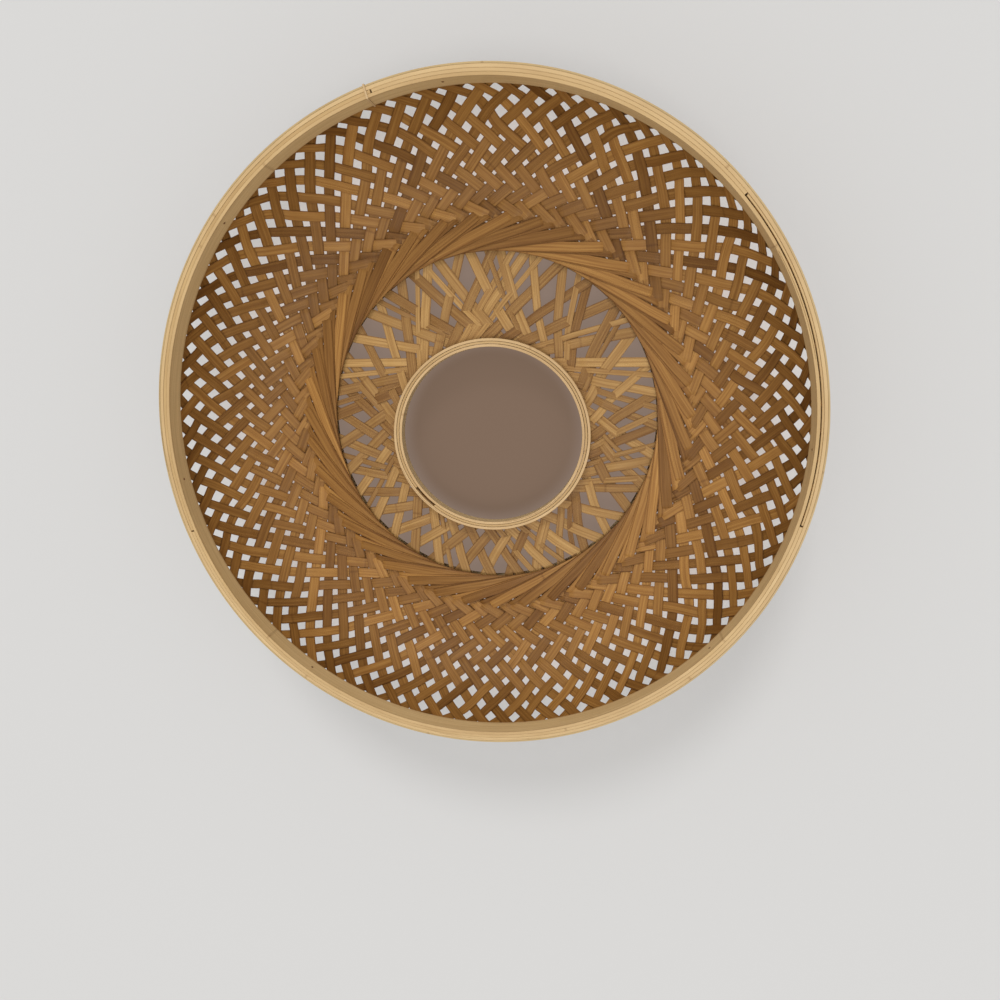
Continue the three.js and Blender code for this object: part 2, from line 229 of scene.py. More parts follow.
def make_splints(name, centre, across, facing, width, thickness, chamfer, number):
    """One mesh of flat splints. Arrays run splint by splint and station by station: where the splint's
    middle lies, the way across it and the way that it faces. It keeps two attributes for the material:
    fibre (metres along, metres across, the splint's number), and side, from -1 to 1 across."""
    centre, across, facing = (np.asarray(a, float) for a in (centre, across, facing))
    splints, stations = centre.shape[:2]
    width = np.broadcast_to(np.asarray(width, float), (splints, stations))
    thickness = np.broadcast_to(np.asarray(thickness, float), (splints, stations))
    u, v = splint_section(width, thickness, chamfer)
    points = centre[:, :, None] + across[:, :, None] * u[..., None] + facing[:, :, None] * v[..., None]
    steps = np.linalg.norm(np.diff(centre, axis=1), axis=2)
    along = np.concatenate([np.zeros((splints, 1)), np.cumsum(steps, 1)], 1)
    corners = points.shape[2]
    fibre = np.zeros(points.shape)
    fibre[..., 0] = along[:, :, None] * MM
    fibre[..., 1] = u * MM
    fibre[..., 2] = np.asarray(number, float)[:, None, None]
    side = u / (width[..., None] / 2)

    i = np.arange(stations - 1)[:, None] * corners
    j = np.arange(corners)[None]
    k = (j + 1) % corners
    quads = np.stack([i + j, i + corners + j, i + corners + k, i + k], -1).reshape(-1, 4)
    forward = centre[0, 1] - centre[0, 0]
    if np.dot(np.cross(across[0, 0], facing[0, 0]), forward) < 0:
        quads = quads[:, ::-1]
        ends = [np.arange(corners)[::-1], (stations - 1) * corners + np.arange(corners)]
    else:
        ends = [np.arange(corners), (stations - 1) * corners + np.arange(corners)[::-1]]
    faces = []
    for splint in range(splints):
        start = splint * stations * corners
        faces += (quads + start).tolist() + [(end + start).tolist() for end in ends]

    mesh = bpy.data.meshes.new(name)
    mesh.from_pydata((points.reshape(-1, 3) * MM).tolist(), [], faces)
    mesh.attributes.new("fibre", "FLOAT_VECTOR", "POINT").data.foreach_set("vector", fibre.ravel())
    mesh.attributes.new("side", "FLOAT", "POINT").data.foreach_set("value", side.ravel())
    mesh.polygons.foreach_set("use_smooth", [True] * len(faces))
    mesh.set_sharp_from_angle(angle=math.radians(SHARP_DEG))
    mesh.update()
    piece = bpy.data.objects.new(name, mesh)
    bpy.context.scene.collection.objects.link(piece)
    return piece


def dress(piece, material, slot, *nodes):
    """Gives a piece its finish, puts it in the root body and hides the nodes that it stands for. slot is
    not used.
    """
    piece.data.materials.append(material)
    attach(piece, "root")
    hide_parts(*nodes)


# Plaiting


def eased(x, xs, ys):
    """A line through (xs, ys) with its corners rounded."""
    spread = np.linspace(-1, 1, EASE_STEPS) * EASE_BLUR
    return np.mean([np.interp(x + d, xs, ys) for d in spread], 0)


def smooth_step(x):
    x = np.clip(x, 0, 1)
    return x * x * (3 - 2 * x)


def risen(x, start, over):
    """0 up to start, and from there smoothly up to 1."""
    return smooth_step((x - start) / over)


def arc(centre_r, centre_z, radius_r, radius_z, from_deg, to_deg, steps):
    angles = np.radians(np.linspace(from_deg, to_deg, steps))
    return np.stack([centre_r + radius_r * np.cos(angles), centre_z + radius_z * np.sin(angles)], 1)


def straight(start, end, steps=LONG_STEPS):
    return np.linspace(start, end, steps)


class Course:
    """The straightest way over a turned wall for a strip that is tangent to a circle. The wall is a line
    of (radius, height) points. Everything is read by the length gone along the strip."""

    READINGS = ("radius", "height", "turn", "sine", "cosine", "out", "up")

    def __init__(self, line, tangent_radius, first_length=0.0, first_turn=0.0):
        keep = np.concatenate([[True], np.linalg.norm(np.diff(line, axis=0), axis=1) > 1e-6])
        line = line[keep]
        step = np.linalg.norm(np.diff(line, axis=0), axis=1)
        rise = np.concatenate([[0], np.cumsum(step)])
        radius, height = line.T
        self.sine = np.clip(tangent_radius / radius, 0, 1)
        cosine = np.sqrt(np.maximum(1 - self.sine**2, 1e-9))
        lengths = step / ((cosine[1:] + cosine[:-1]) / 2)
        turns = lengths * ((self.sine / radius)[1:] + (self.sine / radius)[:-1]) / 2
        self.length = first_length + np.concatenate([[0], np.cumsum(lengths)])
        self.turn = first_turn + np.concatenate([[0], np.cumsum(turns)])
        self.radius, self.height, self.cosine = radius, height, cosine
        out = np.gradient(radius, rise)
        up = np.gradient(height, rise)
        norm = np.hypot(out, up)
        self.out, self.up = out / norm, up / norm

    def put_before(self, **stretch):
        """Adds a stretch ahead of the start."""
        for name, values in stretch.items():
            setattr(self, name, np.concatenate([values, getattr(self, name)]))

    def at(self, length):
        return {name: np.interp(length, self.length, getattr(self, name)) for name in self.READINGS}


def over_under(crossings, changes, half_width):
    """1 where the clockwise arms lie on top and -1 where they lie below. It starts at 1."""
    sign = np.ones(np.shape(crossings))
    for i, change in enumerate(changes):
        step = smooth_step((crossings - change) / (2 * half_width) + 0.5)
        sign -= 2 * (-1) ** i * step
    return sign


def lay_strips(course, lengths, hand, azimuth, lift, tilt, centre=(0, 0)):
    """Middles, ways across and facings of strips on a course. hand is 1 where a strip runs clockwise
    on its way out and -1 where it runs the other way. lift is along the wall's inner face."""
    c = course.at(np.abs(lengths))
    angle = azimuth - hand * c["turn"]
    e_out = np.stack([np.cos(angle), np.sin(angle)], -1)
    e_round = np.stack([-np.sin(angle), np.cos(angle)], -1)
    flat = lambda a: np.concatenate([a, np.zeros(a.shape[:-1] + (1,))], -1)
    outward, roundabout = flat(e_out), flat(e_round)
    upward = np.zeros_like(outward)
    upward[..., 2] = 1
    uphill = outward * c["out"][..., None] + upward * c["up"][..., None]
    facing = upward * c["out"][..., None] - outward * c["up"][..., None]
    across = uphill * c["sine"][..., None] + roundabout * (hand * c["cosine"])[..., None]
    middle = outward * c["radius"][..., None] + upward * c["height"][..., None]
    middle[..., 0] += centre[0]
    middle[..., 1] += centre[1]
    middle += facing * lift[..., None]
    lean = (hand * tilt)[..., None]
    across_leaning = across * np.cos(lean) - facing * np.sin(lean)
    facing_leaning = facing * np.cos(lean) + across * np.sin(lean)
    return middle, across_leaning, facing_leaning


def slow_drift(rng, splints, lengths, reach):
    """A gentle wander along each strip, up to about reach."""
    drift = np.zeros(np.shape(lengths))
    for harmonic in DRIFT_HARMONICS:
        phase = rng.uniform(0, FULL_TURN, (splints, 1))
        size = rng.normal(0, reach / 2, (splints, 1))
        drift = drift + size * np.sin(FULL_TURN * harmonic * lengths / DRIFT_WAVE + phase)
    return drift


def bowl_course():
    """The middle of the bowl's wall, from the throat to the strips' cut ends under the rim."""
    floor = bowl_low[2] + WALL / 2
    reach = bowl_reach - WALL / 2
    swing = (reach - BOWL_FLOOR_RADIUS, rim_hoop_low - floor, -90, 0)
    side = arc(BOWL_FLOOR_RADIUS, rim_hoop_low, *swing, BOWL_STEPS)
    line = np.concatenate([side, straight((reach, rim_hoop_low), (reach, bowl_high[2]))])
    flat_length = math.sqrt(BOWL_FLOOR_RADIUS**2 - BOWL_TANGENT_RADIUS**2)
    flat_turn = math.atan2(flat_length, BOWL_TANGENT_RADIUS)
    course = Course(line, BOWL_TANGENT_RADIUS, flat_length, flat_turn)
    near = np.linspace(0, flat_length, BOWL_STEPS)[:-1]
    radius = np.hypot(near, BOWL_TANGENT_RADIUS)
    course.put_before(
        length=near,
        turn=np.arctan2(near, BOWL_TANGENT_RADIUS),
        radius=radius,
        height=np.full(near.shape, floor),
        sine=BOWL_TANGENT_RADIUS / radius,
        cosine=near / radius,
        out=np.ones(near.shape),
        up=np.zeros(near.shape),
    )
    return course


def bowl_strip_pieces(rng):
    course = bowl_course()
    reach = course.length[-1]
    stations = int(round(2 * reach / BOWL_STATION_STEP)) + 1
    lengths = np.tile(np.linspace(-reach, reach, stations), (BOWL_STRIPS, 1))
    gone = np.abs(lengths)
    hand = np.where(lengths >= 0, 1.0, -1.0)
    spacing = FULL_TURN / BOWL_STRIPS
    number = np.arange(BOWL_STRIPS)
    upper = np.where(number % 2 == 1, 1.0, -1.0)[:, None]  # the upper strip of each pair

    evenness = eased(gone, *EVENNESS_ALONG)
    azimuth = (number * spacing)[:, None] - upper * (1 - evenness) * spacing / 2
    azimuth = azimuth + math.radians(BOWL_FIRST_STRIP_DEG)
    far = risen(gone, *WANDER_RISE)
    azimuth = azimuth + far * slow_drift(rng, BOWL_STRIPS, lengths, WANDER) * spacing / 2

    crossings = course.at(gone)["turn"] / (spacing / 2)
    change = over_under(crossings, BOWL_CHANGES, BOWL_CHANGE_HALF_WIDTH)
    depth = eased(gone, *DEPTH_ALONG)
    near = gone < THROAT_SLOPE_LENGTH
    depth[near] = THROAT_SLOPE * gone[near]
    throat_raise = THROAT_RAISE * (1 - risen(gone, *THROAT_RAISE_FADE))
    lift = hand * depth * change + upper * eased(gone, *PAIR_LIFT_ALONG) + throat_raise
    tilt = eased(gone, *TILT_ALONG)

    middle, across, facing = lay_strips(course, lengths, hand, azimuth, lift, tilt)
    width = BOWL_STRIP_WIDTH * (1 + BOWL_WIDTH_SPREAD * rng.normal(size=(BOWL_STRIPS, 1)))
    width = width * (1 + BOWL_WIDTH_WANDER * slow_drift(rng, BOWL_STRIPS, lengths, 1.0))
    pieces = []
    for group in range(BOWL_GROUPS):
        rows = slice(group * BOWL_STRIPS // BOWL_GROUPS, (group + 1) * BOWL_STRIPS // BOWL_GROUPS)
        name = f"bowl_strips_quarter_{group + 1}"
        strips = (middle[rows], across[rows], facing[rows], width[rows])
        pieces.append(make_splints(name, *strips, BOWL_STRIP_THICKNESS, STRIP_CHAMFER, number[rows]))
    return pieces


def out_of_round(middle):
    """Moves the ring, and what lies near it, from a true circle to its own shape."""
    off = middle[..., :2] - ring_centre
    reach = np.hypot(off[..., 0], off[..., 1])
    share = 1 - risen(reach, ring_outer_reach, RING_EASE)
    moved = middle.copy()
    moved[..., 0] += share * (RING_WIDER * off[..., 0] + RING_ASIDE)
    return moved


def collar_course(tangent_radius):
    """The middle of the collar, from the ring's top down and out on to the flat base."""
    collar = ring_outer_reach - RING_THICKNESS - FIT_GAP - WALL / 2
    bend = BEND_INSIDE + WALL / 2
    flat = base_top - WALL / 2
    line = [
        straight((collar, ring_top - COLLAR_DROP), (collar, flat + bend), COLLAR_STEPS),
        arc(collar + bend, flat + bend, bend, bend, 180, 270, BEND_STEPS),
        straight((collar + bend, flat), (collar + bend + COLLAR_FLAT, flat), FLAT_STEPS),
    ]
    return Course(np.concatenate(line), tangent_radius)


def band_course(radius_left, tangent_radius):
    """The middle of the base from one place out to the foot, and down between the foot's hoops."""
    band = foot_reach - WALL / 2
    bend = BEND_INSIDE + WALL / 2
    flat = base_top - WALL / 2
    line = [
        straight((radius_left, flat), (band - bend, flat)),
        arc(band - bend, flat - bend, bend, bend, 90, 0, BEND_STEPS),
        straight((band, flat - bend), (band, FOOT_DROP), BEND_STEPS),
    ]
    return Course(np.concatenate(line), tangent_radius)


def base_strip(touch, hand, lift_of):
    """One strip: up between the ring's hoops, straight over the base, down between the foot's hoops.
    It touches its hand's circle at the angle touch. The way over the collar is centred on the ring and
    the way over the base on the foot, and they meet on the flat."""
    nearest = np.array([math.cos(touch), math.sin(touch)]) * BASE_TANGENT_RADIUS[hand]
    way = np.array([math.sin(touch), -math.cos(touch)]) * hand
    line = np.array(BASE_STRIP_CENTRE[hand]) + nearest
    from_ring = line - ring_centre
    ring_nearest = from_ring - way * np.dot(from_ring, way)
    collar = collar_course(float(np.hypot(*ring_nearest)))
    place = ring_centre + ring_nearest + way * collar.radius[-1] * collar.cosine[-1]
    leaving = math.atan2(*(place - ring_centre)[::-1])
    from_foot = place - foot_centre
    foot_nearest = from_foot - way * np.dot(from_foot, way)
    band = band_course(float(np.hypot(*from_foot)), float(np.hypot(*foot_nearest)))
    inner = np.linspace(0, collar.length[-1], COLLAR_STATIONS)
    outer = np.linspace(0, band.length[-1], BASE_STATIONS + 1)[1:]
    laid = []
    for course, lengths, angle, centre in (
        (collar, inner, leaving + hand * collar.turn[-1], ring_centre),
        (band, outer, math.atan2(*from_foot[::-1]), foot_centre),
    ):
        hands = np.full((1, len(lengths)), float(hand))
        flat = np.zeros((1, len(lengths)))
        middle = lay_strips(course, lengths[None], hands, angle, flat, flat, centre)[0]
        lift = lift_of(middle) * hand
        laid.append(lay_strips(course, lengths[None], hands, angle, lift, flat, centre))
    return [np.concatenate(parts, axis=1)[0] for parts in zip(*laid)]


def base_strip_pieces(rng):
    spacing = FULL_TURN / BASE_STRIPS
    number = np.arange(BASE_STRIPS)
    centre = np.mean(list(BASE_STRIP_CENTRE.values()), 0)
    tangent = np.mean(list(BASE_TANGENT_RADIUS.values()))

    def gone(middle):
        """How far places lie from the strips' own centre, and always outside their circle."""
        return np.maximum(np.hypot(*np.moveaxis(middle[..., :2] - centre, -1, 0)), tangent + 1)

    def lift_of(middle):
        crossings = np.arccos(tangent / gone(middle)) / (spacing / 2)
        return BASE_LIFT * over_under(crossings, BASE_CHANGES, BASE_CHANGE_HALF_WIDTH)

    pieces = []
    for hand, name in ((1, "base_strips_clockwise"), (-1, "base_strips_anticlockwise")):
        first = math.radians(BASE_FIRST_STRIP_DEG[hand])
        for doubled, ending in ((False, ""), (True, "_doubled")):
            chosen = number[rng.random(BASE_STRIPS) < DOUBLED_SHARE] if doubled else number
            count = len(chosen)
            aside = rng.uniform(*DOUBLED_ASIDE, count) if doubled else rng.normal(0, BASE_STRAY, count)
            touches = first + (chosen + aside) * spacing
            strips = [base_strip(touch, hand, lift_of) for touch in touches]
            middle, across, facing = (np.stack(parts) for parts in zip(*strips))
            middle[..., 2] += DOUBLED_RAISE if doubled else 0
            middle = out_of_round(middle)
            width = DOUBLED_WIDTH if doubled else BASE_STRIP_WIDTH
            width = width * (1 + BASE_WIDTH_SPREAD * rng.normal(size=(count, 1)))
            width = np.minimum(width, BASE_WIDTH_FIT * np.sqrt(gone(middle) ** 2 - tangent**2) * spacing)
            strips = (middle, across, facing, width, BASE_STRIP_THICKNESS, STRIP_CHAMFER)
            numbers = chosen + BASE_FIRST_NUMBER[hand, doubled]
            pieces.append(make_splints(name + ending, *strips, numbers))
    return pieces


# Hoops


def make_hoop(name, near, far, low, high, chamfer, centre=(0, 0)):
    """A splint bent to a hoop. The radii near and far are numbers, or functions of how far along the
    hoop a place is, from 0 to 1."""
    hoop = HOOPS[name]
    stations = int(abs(hoop["turn_deg"]) / HOOP_STATION_DEG) + 1
    share = np.linspace(0, 1, stations)
    near, far = (
        value(share) if callable(value) else np.full(stations, float(value)) for value in (near, far)
    )
    angle = np.radians(hoop["start_deg"] + hoop["turn_deg"] * share)
    outward = np.stack([np.cos(angle), np.sin(angle), np.zeros(stations)], -1)
    middle = outward * ((near + far) / 2)[:, None]
    middle[:, 0] += centre[0]
    middle[:, 1] += centre[1]
    middle[:, 2] = (low + high) / 2
    middle = out_of_round(middle)
    upward = np.tile([0.0, 0.0, 1.0], (stations, 1))
    bent = ([middle], [upward], [outward], [high - low], [far - near])
    return make_splints(name, *bent, chamfer, [hoop["number"]])


def lapped(name, seat, thickness, side, shaved=SHAVED_END):
    """near and far radii of a hoop whose shaved ends lap within its own thickness. It is built up from
    its seat, outward where side is 1 and inward where it is -1."""
    turn = abs(HOOPS[name]["turn_deg"])
    lap = (turn - 360) / turn
    head_end = max(thickness - FIT_GAP - shaved, shaved)

    def depth(along):
        return shaved + (head_end - shaved) * np.clip(along / lap, 0, 1)

    def inner_face(share):
        past = share - (1 - lap)
        return np.where(past > 0, depth(past) + FIT_GAP, 0.0)

    def outer_face(share):
        head = np.clip((share - lap * (1 - LAP_STEP)) / (lap * LAP_STEP), 0, 1)
        full = np.maximum(thickness, inner_face(share) + shaved)
        return np.where(share <= lap, depth(share) * (1 - head) + full * head, full)

    first = lambda share: seat + side * inner_face(share)
    second = lambda share: seat + side * outer_face(share)
    return (first, second) if side > 0 else (second, first)


# Materials

# Noise that runs along a splint: how fine it is along and across, and how it steps from one splint's
# number to the next
FINE_FIBRES = {"per_metre": (55, 3600), "number_step": 7.31, "detail": 2.0, "shift": 0.0}
STREAKS = {"per_metre": (16, 900), "number_step": 3.17, "detail": 2.5, "shift": 40.0}
SLOW_TONE = {"per_metre": (7, 60), "number_step": 5.77, "detail": 1.0, "shift": 90.0}
OWN_TONE = 0.62  # the share of the tone that is a splint's own, and the rest changes along it
JOINTS_PER_METRE = 3.3
JOINT_SHARPNESS = 260.0

# The part of each reading that counts, from none of its effect to all of it
TONE_RANGE = (0.1, 0.9)
STREAK_RANGE = (0.35, 0.65)
FIBRE_RANGE = (0.3, 0.7)
EDGE_RANGE = (0.74, 1.0)

# What streaks, fibres, edges (wear and painted shade) and joints multiply the bamboo's colour by
STREAK_COLOUR = (0.6, 0.5, 0.4)
FIBRE_COLOUR = (0.72, 0.66, 0.58)
EDGE_WEAR_AND_SHADE_COLOUR = (0.42, 0.28, 0.16)
JOINT_COLOUR = (0.35, 0.22, 0.12)
JOINT_DARK = 0.45
WHITE = (1.0, 1.0, 1.0)
BLACK = (0.0, 0.0, 0.0)

DULLER = 0.12  # added to the roughness between fibres
GLOSSIER = 0.06  # taken from it on them
RELIEF = 0.25
RELIEF_METRES = 0.0002
BAMBOO_SHEEN = 0.25


def node_tree_tools(tree):
    """Short ways to add a node and to join two sockets."""

    def add(kind, **values):
        node = tree.nodes.new(kind)
        for key, value in values.items():
            setattr(node, key, value)
        return node

    return add, tree.links.new


def fibre_group():
    """Fibres, streaks and tone of split bamboo, read from a splint's own attributes."""
    tree = bpy.data.node_groups.new("split bamboo fibres", "ShaderNodeTree")
    for name in ("Fibres", "Streaks", "Tone", "Edge", "Joint"):
        tree.interface.new_socket(name, in_out="OUTPUT", socket_type="NodeSocketFloat")
    add, link = node_tree_tools(tree)
    out = add("NodeGroupOutput")
    fibre = add("ShaderNodeAttribute", attribute_name="fibre")
    parts = add("ShaderNodeSeparateXYZ")
    link(fibre.outputs["Vector"], parts.inputs[0])

    def maths(operation, a, b=None, c=None, clamp=False):
        node = add("ShaderNodeMath", operation=operation, use_clamp=clamp)
        for i, value in enumerate((a, b, c)):
            if value is None:
                continue
            if isinstance(value, (int, float)):
                node.inputs[i].default_value = value
            else:
                link(value, node.inputs[i])
        return node.outputs[0]

    def noise_along(per_metre, number_step, detail, shift):
        """Noise stretched along the splint, different on every splint."""
        place = add("ShaderNodeCombineXYZ")
        link(maths("MULTIPLY", parts.outputs[0], per_metre[0]), place.inputs[0])
        link(maths("MULTIPLY", parts.outputs[1], per_metre[1]), place.inputs[1])
        link(maths("MULTIPLY_ADD", parts.outputs[2], number_step, shift), place.inputs[2])
        noise = add("ShaderNodeTexNoise")
        noise.inputs["Scale"].default_value = 1
        noise.inputs["Detail"].default_value = detail
        link(place.outputs[0], noise.inputs["Vector"])
        return noise.outputs[0]

    link(noise_along(**FINE_FIBRES), out.inputs["Fibres"])
    link(noise_along(**STREAKS), out.inputs["Streaks"])
    own = add("ShaderNodeTexWhiteNoise", noise_dimensions="1D")
    link(parts.outputs[2], own.inputs["W"])
    tone = maths("MULTIPLY", own.outputs["Value"], OWN_TONE)
    slow = maths("MULTIPLY", noise_along(**SLOW_TONE), 1 - OWN_TONE)
    link(maths("ADD", tone, slow), out.inputs["Tone"])
    side = add("ShaderNodeAttribute", attribute_name="side")
    edge = maths("ABSOLUTE", side.outputs["Fac"])
    link(maths("SMOOTH_MIN", edge, 1.0), out.inputs["Edge"])
    # A joint of the cane every 0.3 m or so, at a place of its own on each splint
    joints = maths("MULTIPLY", parts.outputs[0], JOINTS_PER_METRE)
    place = maths("FRACT", maths("ADD", joints, own.outputs["Value"]))
    off = maths("ABSOLUTE", maths("SUBTRACT", place, 0.5))
    joint = maths("SUBTRACT", 1.0, maths("MULTIPLY", off, JOINT_SHARPNESS), clamp=True)
    link(joint, out.inputs["Joint"])
    return tree


FIBRES = fibre_group()


def bamboo(name, dark, light, streak=0.5, roughness=0.5, edge_wear_and_shade=0.45):
    """Bamboo between two colours: dark and light splints, with streaks along the fibre."""
    material = bpy.data.materials.new(name)
    material.use_nodes = True
    tree = material.node_tree
    add, link = node_tree_tools(tree)
    shader = tree.nodes["Principled BSDF"]
    fibres = add("ShaderNodeGroup", node_tree=FIBRES)

    def blend(kind, factor, first, second):
        node = add("ShaderNodeMix", data_type="RGBA", blend_type=kind)
        for socket, value in ((node.inputs[0], factor), (node.inputs[6], first), (node.inputs[7], second)):
            if isinstance(value, (float, int)):
                socket.default_value = value
            elif isinstance(value, tuple):
                socket.default_value = (*value, 1)
            else:
                link(value, socket)
        return node.outputs[2]

    def scaled(value, low, high, to_low, to_high):
        node = add("ShaderNodeMapRange")
        link(value, node.inputs[0])
        for i, number in enumerate((low, high, to_low, to_high)):
            node.inputs[i + 1].default_value = number
        return node.outputs[0]

    body = blend("MIX", scaled(fibres.outputs["Tone"], *TONE_RANGE, 0, 1), dark, light)
    streaks = blend("MIX", scaled(fibres.outputs["Streaks"], *STREAK_RANGE, 0, 1), STREAK_COLOUR, WHITE)
    streaky = blend("MULTIPLY", streak, body, streaks)
    lines = blend("MIX", scaled(fibres.outputs["Fibres"], *FIBRE_RANGE, 0, 1), FIBRE_COLOUR, WHITE)
    fine = blend("MULTIPLY", streak, streaky, lines)
    # Darker towards a splint's edges: partly wear, and partly painted shade of the slits between strips
    edge = scaled(fibres.outputs["Edge"], *EDGE_RANGE, 0, edge_wear_and_shade)
    worn = blend("MULTIPLY", edge, fine, EDGE_WEAR_AND_SHADE_COLOUR)
    joint = scaled(fibres.outputs["Joint"], 0, 1, 0, JOINT_DARK)
    link(blend("MULTIPLY", joint, worn, JOINT_COLOUR), shader.inputs["Base Color"])
    gloss = scaled(fibres.outputs["Fibres"], *FIBRE_RANGE, roughness + DULLER, roughness - GLOSSIER)
    link(gloss, shader.inputs["Roughness"])
    bump = add("ShaderNodeBump")
    bump.inputs["Strength"].default_value = RELIEF
    bump.inputs["Distance"].default_value = RELIEF_METRES
    link(fibres.outputs["Fibres"], bump.inputs["Height"])
    link(bump.outputs[0], shader.inputs["Normal"])
    shader.inputs["Specular IOR Level"].default_value = BAMBOO_SHEEN
    return material


# Split strips' edges are darkened further: painted shade between the strips, on top of their wear
SPLIT = {"streak": 0.75, "edge_wear_and_shade": 0.8}
SHAVED = {"streak": 0.3, "roughness": 0.45}
bowl_bamboo = bamboo("bowl strips, split bamboo", (0.19, 0.082, 0.014), (0.53, 0.28, 0.076), **SPLIT)
base_bamboo = bamboo("base strips, split bamboo", (0.235, 0.11, 0.025), (0.61, 0.38, 0.14), **SPLIT)
hoop_bamboo = bamboo("hoops, shaved bamboo", (0.64, 0.45, 0.21), (0.80, 0.61, 0.34), **SHAVED)
ring_bamboo = bamboo("ring, shaved bamboo", (0.60, 0.41, 0.18), (0.80, 0.59, 0.33), **SHAVED)
skin_bamboo = bamboo("rim skin, polished bamboo", (0.58, 0.44, 0.21), (0.74, 0.58, 0.33), 0.3, 0.35)
cane = bamboo("tie, split cane", (0.55, 0.38, 0.2), (0.7, 0.52, 0.3), 0.3)
peg_bamboo = bamboo("pegs, bamboo end grain", (0.20, 0.10, 0.04), (0.34, 0.19, 0.09))


# The basket's pieces

rng = np.random.default_rng(SEED)
for piece in bowl_strip_pieces(rng):
    dress(piece, bowl_bamboo, "bowl_strip", "bowl_weave")
for piece in base_strip_pieces(rng):
    dress(piece, base_bamboo, "foot_strip", "foot_weave")

bowl_inner_face = bowl_reach - WALL
rim_inner_seat = bowl_inner_face - FIT_GAP
rim_outer_seat = bowl_reach + FIT_GAP
rim_skin_seat = rim_outer_seat + RIM_OUTER_THICKNESS + FIT_GAP
rim_reach = rim_skin_seat + RIM_SKIN_THICKNESS


def pressed(near, far):
    """near and far radii of a hoop, swelled towards its neighbours."""
    first = lambda share: near(share) - SWELL
    second = lambda share: far(share) + SWELL
    return first, second


def rim_pieces():
    for name, node, seat, thickness, side, low in (
        ("inner_rim_hoop", "rim_inner_hoop", rim_inner_seat, RIM_INNER_THICKNESS, -1, rim_hoop_low),
        ("outer_rim_hoop", "rim_outer_hoop", rim_outer_seat, RIM_OUTER_THICKNESS, 1, outer_hoop_low),
    ):
        near, far = pressed(*lapped(name, seat, thickness, side))
        dress(make_hoop(name, near, far, low, rim_top, RIM_CHAMFER), hoop_bamboo, "hoop", node)
    near, far = pressed(*lapped("rim_skin", rim_skin_seat, RIM_SKIN_THICKNESS, 1, SKIN_SHAVED_END))
    piece = make_hoop("rim_skin", near, far, skin_low, rim_top, THIN_CHAMFER)
    dress(piece, skin_bamboo, "green_skin", "rim_skin_splint")
    far = bowl_reach + SWELL
    for name, node in (
        ("upper_cap_splint", "rim_cap_splint_upper"),
        ("lower_cap_splint", "rim_cap_splint_lower"),
    ):
        piece = make_hoop(name, bowl_inner_face - SWELL, far, cap_low, rim_top, RIM_CHAMFER)
        dress(piece, hoop_bamboo, "hoop", node)
    # Between the capped stretches, a thin edging over the strips' ends fills the groove
    low = bowl_high[2] + EDGING_CLEARANCE
    for name, (gap, drop) in RIM_EDGINGS.items():
        piece = make_hoop(name, bowl_inner_face + gap, far, low, rim_top - drop, RIM_CHAMFER)
        dress(piece, hoop_bamboo, "bowl_strip", "bowl_weave")


def foot_pieces():
    outer_seat = foot_outer_hoop_reach - FOOT_HOOP_THICKNESS
    for name, node, seat, side, high in (
        ("inner_foot_hoop", "foot_top_inner_hoop", foot_inner_hoop_reach, -1, foot_inner_hoop_high),
        ("outer_foot_hoop", "foot_top_outer_hoop", outer_seat, 1, base_top),
    ):
        near, far = lapped(name, seat, FOOT_HOOP_THICKNESS, side)
        piece = make_hoop(name, near, far, 0, high, FOOT_CHAMFER, foot_centre)
        dress(piece, hoop_bamboo, "hoop", node)


def ring_pieces():
    outer_seat = ring_outer_reach - RING_THICKNESS
    inner_seat = outer_seat - FIT_GAP - WALL - FIT_GAP
    for name, node, seat, side, low in (
        ("inner_ring_hoop", "ring_inner_hoop", inner_seat, -1, ring_low),
        ("outer_ring_hoop", "ring_outer_hoop", outer_seat, 1, ring_outer_low),
    ):
        near, far = pressed(*lapped(name, seat, RING_THICKNESS, side))
        piece = make_hoop(name, near, far, low, ring_top, THIN_CHAMFER, ring_centre)
        dress(piece, ring_bamboo, "ring_hoop", node)
    # A thin edging over the strips' ends, which leaves a dark slit where it stops
    near = inner_seat + FIT_GAP + EDGING_CLEARANCE
    far = inner_seat + FIT_GAP + WALL - EDGING_CLEARANCE
    low, high = ring_top - RING_EDGING_DEPTH, ring_top - RING_EDGING_DROP
    piece = make_hoop("ring_edging", near, far, low, high, THIN_CHAMFER, ring_centre)
    dress(piece, ring_bamboo, "foot_strip", "foot_weave")


PEG_WIDTH = 1.8
PEG_PROUD = 0.35
PEG_END = (0, 0.04, 0.09)  # a peg's first stations, as shares of its length, and the widths there
PEG_END_TAPER = (0.62, 0.9, 1.0)
OCTAGON_CORNER = 0.29  # of the width


def peg_piece(node, number):
    """A bamboo peg driven through the rim, with its ends a little worn down."""
    low, high = node_box(node)
    middle = (low + high) / 2
    outward = np.array([middle[0], middle[1], 0]) / math.hypot(middle[0], middle[1])
    from_radius = rim_inner_seat - RIM_INNER_THICKNESS - PEG_PROUD
    to_radius = rim_reach + PEG_PROUD
    stations = np.array([*PEG_END, 0.5, *(1 - share for share in PEG_END[::-1])])
    radius = from_radius + (to_radius - from_radius) * stations
    width = PEG_WIDTH * np.array([*PEG_END_TAPER, 1.0, *PEG_END_TAPER[::-1]])
    centre = outward * radius[:, None] + np.array([0, 0, middle[2]])
    upward = np.tile([0.0, 0.0, 1.0], (len(radius), 1))
    aside = np.cross(outward, upward)
    bar = ([centre], [upward], [aside], [width], [width])
    piece = make_splints(f"{node}_bar", *bar, OCTAGON_CORNER * PEG_WIDTH, [number])
    dress(piece, peg_bamboo, "peg", node)


TIE_WIDTH = 0.95
TIE_THICKNESS = 0.5
TIE_CORNER = 0.55
TIE_CORNER_STEPS = 7


